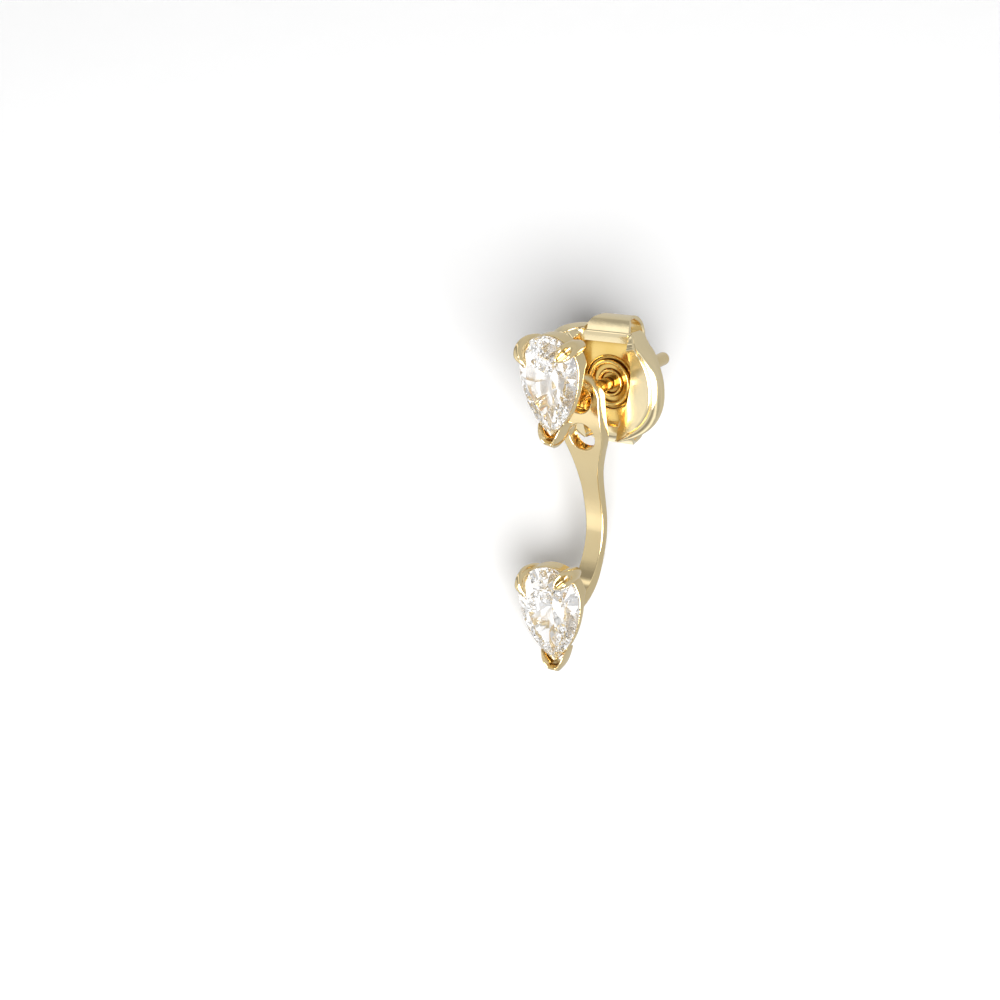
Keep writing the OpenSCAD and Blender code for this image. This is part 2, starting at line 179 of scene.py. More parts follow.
def goldMaterial(name, tint):
    material, tree, shader, _ = nodeMaterial(name)
    nodes, links = tree.nodes, tree.links
    coords = nodes.new("ShaderNodeTexCoord")
    cloud = nodes.new("ShaderNodeTexNoise")  # slow change of tone and polish
    cloud.inputs["Scale"].default_value = gold["hazeScale"]
    cloud.inputs["Detail"].default_value = 3
    links.new(coords.outputs["Object"], cloud.inputs["Vector"])
    tone = nodes.new("ShaderNodeMix")
    tone.data_type = "RGBA"
    tone.inputs["A"].default_value = tint["bright"]
    tone.inputs["B"].default_value = tint["warm"]
    links.new(cloud.outputs["Fac"], tone.inputs["Factor"])
    crease = nodes.new("ShaderNodeAmbientOcclusion")  # painted shade: ambient occlusion darkens and deepens the gold in creases, where metal meets metal
    crease.samples = gold["creaseRays"]
    crease.inputs["Distance"].default_value = tint["reach"]
    depth = nodes.new("ShaderNodeMapRange")
    depth.inputs["From Min"].default_value = tint["from"]
    depth.inputs["From Max"].default_value = tint["to"]
    links.new(crease.outputs["AO"], depth.inputs["Value"])
    dark = nodes.new("ShaderNodeMix")
    dark.data_type = "RGBA"
    dark.inputs["A"].default_value = tint["crease"]
    links.new(tone.outputs["Result"], dark.inputs["B"])
    links.new(depth.outputs["Result"], dark.inputs["Factor"])
    path = nodes.new("ShaderNodeLightPath")  # painted brightness: seen through a stone, the metal is painted pale, so that the stone looks bright
    inner = nodes.new("ShaderNodeMix")
    inner.data_type = "RGBA"
    inner.inputs["B"].default_value = gold["underStone"]
    links.new(path.outputs["Is Transmission Ray"], inner.inputs["Factor"])
    links.new(dark.outputs["Result"], inner.inputs["A"])
    links.new(inner.outputs["Result"], shader.inputs["Base Color"])
    rough = nodes.new("ShaderNodeMapRange")
    rough.inputs["To Min"].default_value = gold["gloss"]
    rough.inputs["To Max"].default_value = gold["haze"]
    links.new(cloud.outputs["Fac"], rough.inputs["Value"])
    links.new(rough.outputs["Result"], shader.inputs["Roughness"])
    marks = nodes.new("ShaderNodeTexNoise")  # fine polishing marks
    marks.inputs["Scale"].default_value = gold["polishScale"]
    marks.inputs["Detail"].default_value = 4
    links.new(coords.outputs["Object"], marks.inputs["Vector"])
    bump = nodes.new("ShaderNodeBump")
    bump.inputs["Strength"].default_value = gold["polishDepth"]
    bump.inputs["Distance"].default_value = gold["polishReach"]
    links.new(marks.outputs["Fac"], bump.inputs["Height"])
    links.new(bump.outputs["Normal"], shader.inputs["Normal"])
    shader.inputs["Metallic"].default_value = 1
    return material


crystal = {"body": (0.985, 0.99, 1.0, 1), "warm": (0.99, 0.985, 0.975, 1), "ior": 2.1, "clear": 1,
           "veilScale": 700}


def crystalMaterial():
    material, tree, shader, _ = nodeMaterial("clearCrystal")
    nodes, links = tree.nodes, tree.links
    coords = nodes.new("ShaderNodeTexCoord")
    veil = nodes.new("ShaderNodeTexNoise")
    veil.inputs["Scale"].default_value = crystal["veilScale"]
    veil.inputs["Detail"].default_value = 2
    links.new(coords.outputs["Object"], veil.inputs["Vector"])
    tone = nodes.new("ShaderNodeMix")
    tone.data_type = "RGBA"
    tone.inputs["A"].default_value = crystal["body"]
    tone.inputs["B"].default_value = crystal["warm"]
    links.new(veil.outputs["Fac"], tone.inputs["Factor"])
    links.new(tone.outputs["Result"], shader.inputs["Base Color"])
    shader.inputs["Transmission Weight"].default_value = crystal["clear"]
    shader.inputs["Roughness"].default_value = 0
    shader.inputs["IOR"].default_value = crystal["ior"]
    return material


paper = {"colour": (0.93, 0.93, 0.93, 1), "grain": 60, "tooth": 0.02, "matte": 0.9, "sheen": 0.1}


def paperMaterial(name, oneSided):
    material, tree, shader, output = nodeMaterial(name)
    nodes, links = tree.nodes, tree.links
    grain = nodes.new("ShaderNodeTexNoise")
    grain.inputs["Scale"].default_value = paper["grain"]
    bump = nodes.new("ShaderNodeBump")
    bump.inputs["Strength"].default_value = paper["tooth"]
    links.new(grain.outputs["Fac"], bump.inputs["Height"])
    links.new(bump.outputs["Normal"], shader.inputs["Normal"])
    shader.inputs["Base Color"].default_value = paper["colour"]
    shader.inputs["Roughness"].default_value = paper["matte"]
    shader.inputs["Specular IOR Level"].default_value = paper["sheen"]
    if oneSided:  # clear from behind, so that it hides nothing in a rear view
        side = nodes.new("ShaderNodeNewGeometry")
        clear = nodes.new("ShaderNodeBsdfTransparent")
        blend = nodes.new("ShaderNodeMixShader")
        links.new(side.outputs["Backfacing"], blend.inputs["Fac"])
        links.new(shader.outputs["BSDF"], blend.inputs[1])
        links.new(clear.outputs["BSDF"], blend.inputs[2])
        links.new(blend.outputs["Shader"], output.inputs["Surface"])
    return material


settingGold = goldMaterial("settingGold", tones["setting"])
jacketGold = goldMaterial("jacketGold", tones["jacket"])
clutchGold = goldMaterial("clutchGold", tones["clutch"])
recessShadedGold = goldMaterial("recessShadedGold", tones["channel"])
clearCrystal = crystalMaterial()
floorPaper = paperMaterial("floorPaper", False)
sheetPaper = paperMaterial("sheetPaper", True)
print("materials made")

# The pear outline of both stones: a half circle above, and two long arcs that meet at the tip

pear = {"length": 6.0, "width": 4.0, "headDepth": 2.3, "studRise": 1.43, "dropHeight": 12.63,
        "dropForward": 1.0, "dropTurn": 8, "dropTilt": 3}
lobeR = pear["width"] / 2
lobeZ = pear["length"] / 2 - lobeR
tipDrop = lobeZ + pear["length"] / 2
wingR = (lobeR ** 2 + tipDrop ** 2) / (2 * lobeR)
wingX = wingR - lobeR


def pearPoint(grow, t):
    # t runs 0 apex, 1 right side, 2 tip, 3 left side; grow is how far outside the stone
    if t <= 1:
        return (lobeR + grow) * math.sin(math.pi / 2 * t), lobeZ + (lobeR + grow) * math.cos(math.pi / 2 * t)
    if t <= 2:
        a = math.acos(wingX / (wingR + grow)) * (t - 1)
        return (wingR + grow) * math.cos(a) - wingX, lobeZ - (wingR + grow) * math.sin(a)
    x, z = pearPoint(grow, 4 - t)
    return -x, z


studPlace = Matrix.Translation((0, -pear["headDepth"], pear["studRise"]))
dropPlace = (Matrix.Translation((0, -pear["headDepth"] - pear["dropForward"], -pear["dropHeight"]))
             @ Matrix.Rotation(math.radians(pear["dropTurn"]), 4, "Z")
             @ Matrix.Rotation(math.radians(-pear["dropTilt"]), 4, "Y"))

# Stones, cut from a block facet by facet

cut = {"crown": 0.62, "pavilion": 1.7, "girdle": 0.12, "middle": 0.4, "girdleSides": 64,
       "block": 9, "probe": 0.01,
       # crown facets: first place round the stone, count, place of the inner edge (share out, share up)
       "crownTiers": [(0.0, 16, 0.56, 1.0), (0.125, 16, 0.78, 0.62), (0.0625, 32, 0.86, 0.52)],
       # pavilion facets: first place, count, inner point (share out, share down)
       "pavilionTiers": [(0.0, 8, 0.0, 1.0), (0.25, 8, 0.12, 0.93), (0.125, 16, 0.42, 0.70),
                         (0.0625, 32, 0.72, 0.42)]}


def tangentAt(t):
    x0, z0 = pearPoint(0, (t - cut["probe"]) % 4)
    x1, z1 = pearPoint(0, (t + cut["probe"]) % 4)
    return Vector((x1 - x0, 0, z1 - z0)).normalized()


def cutFacet(bm, point, normal):
    made = bmesh.ops.bisect_plane(bm, geom=bm.verts[:] + bm.edges[:] + bm.faces[:], plane_co=point,
                                  plane_no=normal, clear_outer=True, dist=1e-5)
    edges = [g for g in made["geom_cut"] if isinstance(g, bmesh.types.BMEdge)]
    if len(edges) > 2:
        bmesh.ops.contextual_create(bm, geom=edges)


def cutTier(bm, middle, first, count, share, y0, y1):
    # facets that start on the girdle's edge and lean in to a smaller outline nearer the table or the culet
    for i in range(count):
        t = (first + 4 * i / count) % 4
        x, z = pearPoint(0, t)
        edge = Vector((x, y0, z))
        inner = middle + (Vector((x, 0, z)) - middle) * share
        along = tangentAt(t)
        normal = along.cross(Vector((inner.x, y1, inner.z)) - edge).normalized()
        if normal.dot(edge - middle) < 0:
            normal = -normal
        cutFacet(bm, edge, normal)


def cutStone():
    bm = bmesh.new()
    bmesh.ops.create_cube(bm, size=cut["block"])
    middle = Vector((0, 0, lobeZ * cut["middle"]))
    half = cut["girdle"] / 2
    for i in range(cut["girdleSides"]):  # the girdle's wall
        t = 4 * i / cut["girdleSides"]
        x, z = pearPoint(0, t)
        along = tangentAt(t)
        out = Vector((-along.z, 0, along.x))
        cutFacet(bm, Vector((x, 0, z)), out if out.dot(Vector((x, 0, z)) - middle) > 0 else -out)
    for first, count, share, up in cut["crownTiers"]:
        cutTier(bm, middle, first, count, share, -half, -half - cut["crown"] * up)
    for first, count, share, down in cut["pavilionTiers"]:
        cutTier(bm, middle, first, count, share, half, half + cut["pavilion"] * down)
    cutFacet(bm, Vector((0, -half - cut["crown"], 0)), Vector((0, -1, 0)))
    return bm


studPear = place("studPear", cutStone(), clearCrystal, "stud", ["stud_stone"], 0, studPlace)
dropPear = place("dropPear", cutStone(), clearCrystal, "jacket", ["drop_stone"], 0, dropPlace)
print("stones cut")

# Settings: a basket whose wall dips between the claws, two claws, and a cup of two fingers at the tip

basket = {"rim": 0.12, "reach": 0.06, "depth": 1.05, "dip": 0.45, "seat": 0.62, "wall": 0.26, "steps": 30,
          "dipStart": 0.92,
          # rows from the pear outline to the round seat: share of the way in, share of the way back
          "outside": ((0.30, 0.32), (0.58, 0.58), (0.84, 0.82), (1, 1)),
          "inside": ((0.84, 0.72), (0.56, 0.48), (0.28, 0.22)),
          # lip: share of the reach, height from the rim; then the ledge beside the stone: its two heights
          # and how far in it ends
          "lip": ((0.8, 0.03), (1, 0.1)), "ledgeLow": 0.28, "ledgeHigh": 0.02, "ledgeIn": 0.06}


def wallBack(t):
    a = t if t <= 2 else 4 - t
    bite = math.sin(math.pi * max(0, a - basket["dipStart"]) / (2 - basket["dipStart"]))
    return basket["depth"] - (basket["depth"] - basket["dip"]) * math.sqrt(max(bite, 0))


def basketRing(grow, blend, share, seat):
    ring = []
    for i in range(4 * basket["steps"]):
        t = i / basket["steps"]
        x, z = pearPoint(grow, t)
        a = math.pi / 2 * t
        y = mix(wallBack(t), pear["headDepth"], share)
        ring.append((mix(x, seat * math.sin(a), blend), y,
                     mix(z, -pear["studRise"] + seat * math.cos(a), blend)))
    return ring


def flatRing(grow, y):
    outline = [pearPoint(grow, i / basket["steps"]) for i in range(4 * basket["steps"])]
    return [(p[0], y, p[1]) for p in outline]


def basketShape():
    rim, reach, wall = basket["rim"], basket["reach"], basket["wall"]
    rings = [flatRing(0.0, rim)] + [flatRing(reach * q, rim + up) for q, up in basket["lip"]]
    rings.append(basketRing(reach, 0, 0, 0))
    rings += [basketRing(reach, b, s, basket["seat"]) for b, s in basket["outside"]]
    rings += [basketRing(-wall, b, s, basket["seat"] - wall) for b, s in basket["inside"]]
    rings += [flatRing(-wall, rim + basket["ledgeLow"]),
              flatRing(-basket["ledgeIn"], rim + basket["ledgeHigh"])]
    return bmeshOf(*hoop(rings))


# rows: distance out, height (up over the girdle, down along the wall), width, turn from foot to tip
claw = {"width": 0.95, "thick": 0.78, "height": 0.9, "sides": 32, "outFrom": 2.0,
        # the groove: depth, width, and where from foot to tip it starts, deepens, ends and fades
        "groove": 1.3, "grooveWidth": 0.42, "grooveFrom": 0.1, "grooveRise": 0.3, "grooveEnd": 0.93,
        "grooveFade": 0.07,
        "rows": [(-0.16, -0.62, 0.70, 0.00), (-0.02, -0.36, 0.90, 0.00), (0.07, -0.10, 1.00, 0.12),
                 (0.05, 0.28, 1.02, 0.30), (-0.12, 0.56, 1.00, 0.50), (-0.42, 0.70, 0.88, 0.74),
                 (-0.76, 0.82, 0.56, 0.92), (-1.00, 0.94, 0.12, 1.00)]}


def clawShape(footAngle, tipAngle, tipReach):
    outside = lobeR + basket["reach"]
    rows = []
    for out, up, wide, turn in claw["rows"]:
        a = math.radians(mix(footAngle, tipAngle, turn))
        far = outside + out * (claw["height"] if out > 0 else outside - tipReach)
        y = -up * (claw["height"] if up > 0 else pear["headDepth"])
        rows.append([far * math.cos(a), y, lobeZ + far * math.sin(a), wide, turn])
    rows = spline(rows, 6)
    rings = []
    for i, row in enumerate(rows):
        before, after = rows[max(i - 1, 0)], rows[min(i + 1, len(rows) - 1)]
        along = (Vector(after[:3]) - Vector(before[:3])).normalized()
        middle = Vector(row[:3])
        radial = Vector((middle.x, 0, middle.z - lobeZ)).normalized()
        side = along.cross(radial if abs(along.dot(radial)) < 0.98 else Vector((0, 1, 0))).normalized()
        up = side.cross(along)
        w, h = claw["width"] / 2 * row[3], claw["thick"] / 2 * row[3]
        outer = 1 if up.dot(Vector((middle.x, -claw["outFrom"], middle.z - lobeZ))) > 0 else -1
        groove = claw["groove"] * ease((row[4] - claw["grooveFrom"]) / claw["grooveRise"])
        groove *= 1 - ease((row[4] - claw["grooveEnd"]) / claw["grooveFade"])
        ring = []
        for j in range(claw["sides"]):
            k = 2 * math.pi * j / claw["sides"]
            dip = groove * math.exp(-(math.cos(k) / claw["grooveWidth"]) ** 2) if math.sin(k) > 0 else 0
            ring.append(middle + side * w * math.cos(k) + up * outer * h * (math.sin(k) - dip))
        rings.append(ring)
    return bmeshOf(*skin(rings))


# cup rows: turn to one side of the tip, height, half width and distance out, as in the metal's own shape
cup = {"width": 1.5, "turn": 0.24, "sides": 32,
       "rows": [(0.00, 0.02, 0.16, 0.34), (0.25, 0.46, 0.155, 0.315), (0.50, 0.56, 0.145, 0.265),
                (0.75, 0.42, 0.11, 0.16), (1.00, 0.10, 0.06, 0.05)]}


def cupShape():
    rows = spline([[-r[0], *r[1:]] for r in reversed(cup["rows"][1:])] + [list(r) for r in cup["rows"]], 6)
    rings = []
    for turn, up, half, out in rows:
        front = -claw["height"] * up
        middle, deep = (front + basket["depth"]) / 2, (basket["depth"] - front) / 2
        ring = []
        for k in range(cup["sides"]):
            a = 2 * math.pi * k / cup["sides"]
            x, z = pearPoint(cup["width"] * (out + half * math.cos(a)), 2 + cup["turn"] * turn)
            ring.append((x, middle - deep * math.sin(a), z))
        rings.append(ring)
    return bmeshOf(*skin(rings))


# claws: angle of the foot, angle of the tip, how far from the middle the tip ends
setting = {"voxel": 0.042, "polish": 5, "studClaws": [(41, 37, 1.28), (134, 166, 1.05)],
           "dropClaws": [(45, 50, 1.28), (132, 161, 1.2)]}


def settingShape(claws):
    parts = [basketShape(), cupShape()] + [clawShape(*c) for c in claws]
    return fused(parts, setting["voxel"], setting["polish"])


place("studBasket", settingShape(setting["studClaws"]), settingGold, "stud", ["stud_setting"], 60,
      studPlace)
place("dropBasket", settingShape(setting["dropClaws"]), settingGold, "jacket", ["ear_jacket"], 60,
      dropPlace)
print("settings cast")

# Post: turned wire with a rounded end, soldered into the back of the basket

post = {"radius": 0.43, "length": 11.2, "sunk": 0.5, "sides": 64, "nose": 0.75, "clearance": 0.04}


def postShape():
    r, end = post["radius"], post["length"]
    nose = r * post["nose"]
    rows = [(r, -post["sunk"]), (r, 0.0)] + [(r, mix(0, end - nose, k / 8)) for k in range(1, 9)]
    rows += [(r * math.cos(a), end - nose + nose * math.sin(a))
             for a in (math.radians(d) for d in range(9, 90, 9))]
    return bmeshOf(*skin(turned(rows, post["sides"])))


place("studPost", postShape(), settingGold, "stud", ["stud_setting"], 50)

# Jacket: a flat blank with two holes, its edges rounded over, then bent to its curve

jacket = {"thick": 0.84, "thin": 0.58, "plateR": 1.45, "hang": 0.12, "pitch": 2.4,
          "hole": 0.89, "holeSides": 72, "edge": 0.13, "holeEdge": 0.07, "sharp": 60, "rowStep": 0.1,
          "merge": 0.004, "onHole": 0.01, "level": 0.99,
          # the metal thins below the plate and is thicker again at the hook: lengths down the strip
          "thinFrom": 2.6, "thinRun": 4.5, "hookMore": 0.12, "hookFrom": 9.5, "hookRun": 3,
          # the plate's round top and straight sides: steps of the arc, first and next steps of the sides
          "topSteps": 24, "sideFrom": 0.6, "sideStep": 0.3, "sideSteps": 6,
          # outline below the plate: height below the post, half width
          "widths": [(2.6, 1.45), (3.1, 1.34), (3.6, 1.16), (4.2, 0.98), (5.0, 0.80), (6.0, 0.70),
                     (7.2, 0.67), (9.0, 0.65), (10.5, 0.65), (11.6, 0.66), (12.9, 0.67)],
          # centre line: how far back and how low
          "path": [(1.17, 2.2), (1.17, 1.0), (1.17, 0.0), (1.17, -0.65), (1.25, -1.6), (1.42, -2.6),
                   (1.58, -3.6), (1.78, -4.9), (2.04, -6.2), (2.22, -7.4), (2.28, -8.2), (2.21, -9.1),
                   (1.95, -10.0), (1.50, -10.95), (0.85, -11.85), (0.05, -12.45), (-0.95, -12.85),
                   (-1.45, -12.95)]}


def jacketBlank():
    # outline of the flat blank: x across, and height as the centre line's own length
    top, hang = jacket["plateR"], jacket["hang"]
    line = []
    for k in range(jacket["topSteps"] + 1):
        a = math.radians(90 - 90 * k / jacket["topSteps"])
        line.append((top * math.cos(a), -hang + top * math.sin(a)))
    line += [(top, -hang - jacket["sideFrom"] - jacket["sideStep"] * k) for k in range(jacket["sideSteps"])]
    rows = spline([list(r) for r in jacket["widths"]], 6)
    line += [(w, -h) for h, w in rows]
    return line[1:]


def pathPoints():
    rows = spline([list(r) for r in jacket["path"]], 12)
    length = [0.0]
    for a, b in zip(rows, rows[1:]):
        length.append(length[-1] + math.hypot(b[0] - a[0], b[1] - a[1]))
    start = next(l for l, r in zip(length, rows) if r[1] <= 0)
    return [(l - start, r[0], r[1]) for l, r in zip(length, rows)]


bend = pathPoints()


def lengthAt(height):
    # length along the centre line at a height, on the part above the hook
    for (l0, y0, z0), (l1, y1, z1) in zip(bend, bend[1:]):
        if z1 <= height <= z0:
            return mix(l0, l1, (z0 - height) / max(z0 - z1, 1e-6))
    return bend[-1][0]


def bent(x, t, s):
    # flat blank to bent strip: x across, t through the metal (+ is the front), s along the centre line
    i = next((k for k in range(len(bend) - 2) if bend[k + 1][0] >= s), len(bend) - 2)
    (l0, y0, z0), (l1, y1, z1) = bend[i], bend[i + 1]
    f = (s - l0) / (l1 - l0)
    a, b = bend[max(i - 1, 0)], bend[min(i + 2, len(bend) - 1)]
    d0 = Vector((y1 - a[1], z1 - a[2])).normalized()
    d1 = Vector((b[1] - y0, b[2] - z0)).normalized()
    d = (d0 * (1 - f) + d1 * f).normalized()
    return x, mix(y0, y1, f) + d.y * t, mix(z0, z1, f) - d.x * t


def thickAt(s):
    thinned = mix(jacket["thick"], jacket["thin"], ease((s - jacket["thinFrom"]) / jacket["thinRun"]))
    return thinned + jacket["hookMore"] * ease((s - jacket["hookFrom"]) / jacket["hookRun"])


def holeCentres():
    return jacket["hang"], lengthAt(-jacket["hang"] - jacket["pitch"])


def jacketShape():
    right = [(x, lengthAt(z) if z <= 0 else -z) for x, z in jacketBlank()]
    loops = [right + [(-x, s) for x, s in reversed(right)]]
    angles = [2 * math.pi * k / jacket["holeSides"] for k in range(jacket["holeSides"])]
    r = jacket["hole"]
    loops += [[(r * math.cos(a), centre + r * math.sin(a)) for a in angles] for centre in holeCentres()]
    bm = bmesh.new()
    rim = []
    for loop in loops:
        made = [bm.verts.new((x, 0, s)) for x, s in loop]
        rim += [bm.edges.new((made[i], made[(i + 1) % len(made)])) for i in range(len(made))]
    bmesh.ops.triangle_fill(bm, edges=rim, use_beauty=True, use_dissolve=False)
    back = bmesh.ops.duplicate(bm, geom=bm.verts[:] + bm.edges[:] + bm.faces[:])
    twin = back["vert_map"]
    copies = {g for g in back["geom"] if isinstance(g, bmesh.types.BMVert)}
    for v in bm.verts:
        v.co.y = -0.5 if v in copies else 0.5
    for e in rim:
        a, b = e.verts
        bm.faces.new((a, b, twin[b], twin[a]))
    bmesh.ops.recalc_face_normals(bm, faces=bm.faces)
    for v in bm.verts:
        v.co.y *= thickAt(v.co.z)  # after the normals, so that the edges are rounded as on an even sheet
    return bm


def sharpEdges(bm):
    return [e for e in bm.edges if e.is_manifold and e.calc_face_angle(0) > math.radians(jacket["sharp"])]


def roundOver(bm, edges, radius, segments):
    bmesh.ops.bevel(bm, geom=edges, offset=radius, segments=segments, profile=0.5, affect="EDGES",
                    offset_type="OFFSET", clamp_overlap=True)


def onHole(v):
    return any(abs(math.hypot(v.co.x, v.co.z - c) - jacket["hole"]) < jacket["onHole"] for c in holeCentres())


def jacketStrip():
    bm = jacketShape()
    roundOver(bm, [e for e in sharpEdges(bm) if not all(onHole(v) for v in e.verts)], jacket["edge"], 4)
    roundOver(bm, sharpEdges(bm), jacket["holeEdge"], 3)  # what is still sharp is round the holes
    s = -jacket["plateR"]
    while s < bend[-1][0]:
        bmesh.ops.bisect_plane(bm, geom=bm.verts[:] + bm.edges[:] + bm.faces[:], plane_co=(0, 0, s),
                               plane_no=(0, 0, 1), dist=1e-4)
        s += jacket["rowStep"]
    bmesh.ops.remove_doubles(bm, verts=bm.verts, dist=jacket["merge"])
    flat = bm.faces.layers.int.new("flat")
    for f in bm.faces:
        f.normal_update()
        f[flat] = abs(f.normal.y) > jacket["level"]
    for v in bm.verts:
        v.co = Vector(bent(v.co.x, v.co.y, v.co.z))
    return bm


def evenFlats(mesh):
    # corners that touch a flat take the flat's normal, so the rounded edges run into it without a ripple
    flat, own = mesh.attributes["flat"], {}
    for p in mesh.polygons:
        if flat.data[p.index].value:
            for v in p.vertices:
                own[v] = own.get(v, Vector()) + p.normal * p.area
    mesh.normals_split_custom_set([own[l.vertex_index].normalized() if l.vertex_index in own
                                   else mesh.corner_normals[l.index].vector.copy() for l in mesh.loops])


strip = place("jacketStrip", jacketStrip(), jacketGold, "jacket", ["ear_jacket"], 60)
evenFlats(strip.data)
print("jacket bent")

# Clutch: a stamped plate with a channel between two wings, a ringed dimple, and two rolled scrolls

clutch = {"floor": 4.5, "sheet": 0.3, "fall": 3.5, "high": 3.3, "low": 3.2, "rows": 96,
          # the two wings aren't pressed alike: half width, height, squareness of the upper corner, last turn
          "right": (4.08, 3.82, 0.93, 62), "left": (4.3, 3.62, 0.45, 85), "firstTurn": -74, "lowCorner": 0.9,
          # each wing: how far its face stands out, the fold beside the channel, its slope and sunk upper end
          "bulge": 1.4, "wall": 0.34, "wallMost": 0.45, "foldEase": 0.4, "slope": 0.12,
          "sinkFrom": 0.86, "sink": 0.06,
          # the rolled rim: width, how far it goes back low and at the top, from which turn, and its groove
          "rim": 0.62, "rimMost": 0.4, "rimTurn": 0.42, "topTurn": 0.8, "rollFrom": 15, "rollRun": 35,
          "rimFade": 0.4, "groove": 0.10, "grooveAt": 0.14, "grooveWide": 0.09,
          # flat bands above and below the channel's floor
          "bandStart": 2.55, "bandStep": 0.5, "bandRun": 0.14,
          # where the painted shade of the channel's recess ends: share of the bulge, share of the fold
          "shadeDepth": 0.6, "shadeEdge": 0.4,
          # half width of the channel at each height
          "channel": [(-3.3, 0.80), (-2.8, 0.84), (-1.85, 1.1), (-0.5, 1.7), (1.3, 1.95),
                      (2.9, 1.6), (3.5, 1.45)]}


def floorAt(z):
    return clutch["floor"] - clutch["bandStep"] * ease((abs(z) - clutch["bandStart"]) / clutch["bandRun"])


def channelAt(z):
    rows = clutch["channel"]
    i = next((k for k in range(len(rows) - 1) if z < rows[k + 1][0]), len(rows) - 2)
    return splineRow(rows, i, (z - rows[i][0]) / (rows[i + 1][0] - rows[i][0]))[1]


wallShares = [k / 10 for k in range(11)]
floorShares = (-0.75, -0.5, -0.25, 0, 0.25, 0.5, 0.75)
rimShares = [0, 0.06, 0.12, 0.18, 0.26, 0.34, 0.5, 0.66, 0.8, 0.9, 1]


def rimBack(t, turn):
    # a shallow groove inside the edge, then the sheet rolls back, further at the top
    top = ease((math.degrees(turn) - clutch["rollFrom"]) / clutch["rollRun"])
    groove = clutch["groove"] * math.exp(-((t - clutch["grooveAt"]) / clutch["grooveWide"]) ** 2)
    return mix(clutch["rimTurn"], clutch["topTurn"], top) * t * t + groove


def wingRow(v, wing):
    half, rise, squareness, lastTurn = clutch[wing]
    z, turn = mix(-clutch["low"], clutch["high"], v), math.radians(mix(clutch["firstTurn"], lastTurn, v))
    tall, corner = (rise, squareness) if turn > 0 else (-clutch["fall"], clutch["lowCorner"])
    a = Vector((channelAt(z), z))
    b = Vector((half * math.cos(turn) ** corner, tall * abs(math.sin(turn)) ** corner))
    run = (b - a).length
    wall, rim = min(clutch["wall"], run * clutch["wallMost"]), min(clutch["rim"], run * clutch["rimMost"])
    outer = run - rim
    stations = [wall * s for s in wallShares] + [mix(wall, outer, k / 12) for k in range(1, 12)]
    stations += [outer + rim * s for s in rimShares]
    sunk = ease((v - clutch["sinkFrom"]) / (1 - clutch["sinkFrom"]))
    face = mix(clutch["floor"] - clutch["bulge"], floorAt(z) - clutch["sink"], sunk)
    narrow = (rim / clutch["rim"]) ** clutch["rimFade"]
    row = []
    for d in stations:
        p = a + (b - a) * (d / run)
        fold = mix(d / wall, ease(d / wall), clutch["foldEase"]) if d < wall else 1
        y = mix(floorAt(z), face, fold) + clutch["slope"] * max(0, d - wall)
        over = max(0.0, (d - outer) / rim)
        row.append((p.x, y + (rimBack(over, turn) - rimBack(0, turn)) * narrow, p.y))
    return row


def plateShape():
    # one pressed sheet with a closed floor: the post's hole is missing from it, and it covers the dimple
    # wherever that goes deeper than the floor
    rows = []
    for i in range(clutch["rows"] + 1):
        right = wingRow(i / clutch["rows"], "right")
        left = [(-x, y, z) for x, y, z in reversed(wingRow(i / clutch["rows"], "left"))]
        x0, y0, z0 = right[0]
        rows.append(left + [(x0 * s, y0, z0) for s in floorShares] + right)
    n = len(rows[0])
    bm = bmesh.new()
    made = [[bm.verts.new(p) for p in row] for row in rows]
    for i in range(len(rows) - 1):
        for k in range(n - 1):
            bm.faces.new((made[i][k], made[i][k + 1], made[i + 1][k + 1], made[i + 1][k]))
    bmesh.ops.recalc_face_normals(bm, faces=bm.faces)
    edge = [e for e in bm.edges if e.is_boundary]
    back = bmesh.ops.duplicate(bm, geom=bm.verts[:] + bm.edges[:] + bm.faces[:])
    copies = [g for g in back["geom"] if isinstance(g, bmesh.types.BMVert)]
    twin = back["vert_map"]
    for v in copies:
        v.co.y += clutch["sheet"]  # the metal gets its thickness straight back
    for e in edge:
        a, b = e.verts
        bm.faces.new((a, b, twin[b], twin[a]))
    bmesh.ops.recalc_face_normals(bm, faces=bm.faces)
    return bm


dimple = {"radius": 1.75, "hole": post["radius"] + post["clearance"], "throat": 0.52, "sides": 128,
          # rings pressed in its front: share of the radius, height over the floor
          "rings": [(0.27, -0.42), (0.31, -0.20), (0.35, 0.02), (0.40, 0.16), (0.46, 0.18), (0.51, 0.06),
                    (0.54, -0.16), (0.60, -0.20), (0.65, -0.12), (0.69, 0.16), (0.74, 0.28), (0.80, 0.30),
                    (0.85, 0.20), (0.885, -0.04), (0.92, -0.06), (0.95, 0.10), (0.98, 0.12), (1.02, -0.10)],
          # its back: share of the radius, share of the sheet's thickness, and more behind it for the collar
          "back": [(1.02, 0.9, 0), (0.5, 0.9, 0), (0.36, 1, 0.4)]}


def dimpleShape():
    r, floorY, sheet = dimple["radius"], clutch["floor"], clutch["sheet"]
    rows = [(dimple["hole"], floorY + dimple["throat"])]
    rows += [(r * q, floorY - h) for q, h in spline([list(p) for p in dimple["rings"]], 4)]
    rows += [(r * q, floorY + sheet * part + more) for q, part, more in dimple["back"]]
    rows.append((dimple["hole"], rows[-1][1]))
    return bmeshOf(*hoop(turned(rows, dimple["sides"])))


scroll = {"reach": 4.05, "depth": 2.4, "width": 2.15, "flare": 1.25, "flareFrom": 0.5, "flareRun": 1.9,
          "backFall": 1.4, "band": 0.8, "curl": 0.36, "curlTall": 1.05, "sheet": 0.24, "edge": 0.05,
          # turns in degrees: where the roof starts, where the curl ends, and the step
          "overFrom": 122, "curlEnd": 216, "turnStep": 6,
          # foot: how far back and how far up from the band's upper end, and how deep its root sits
          "foot": [(-0.05, -0.25), (-0.03, -0.1), (0.03, 0.02)], "footSunk": 0.06}


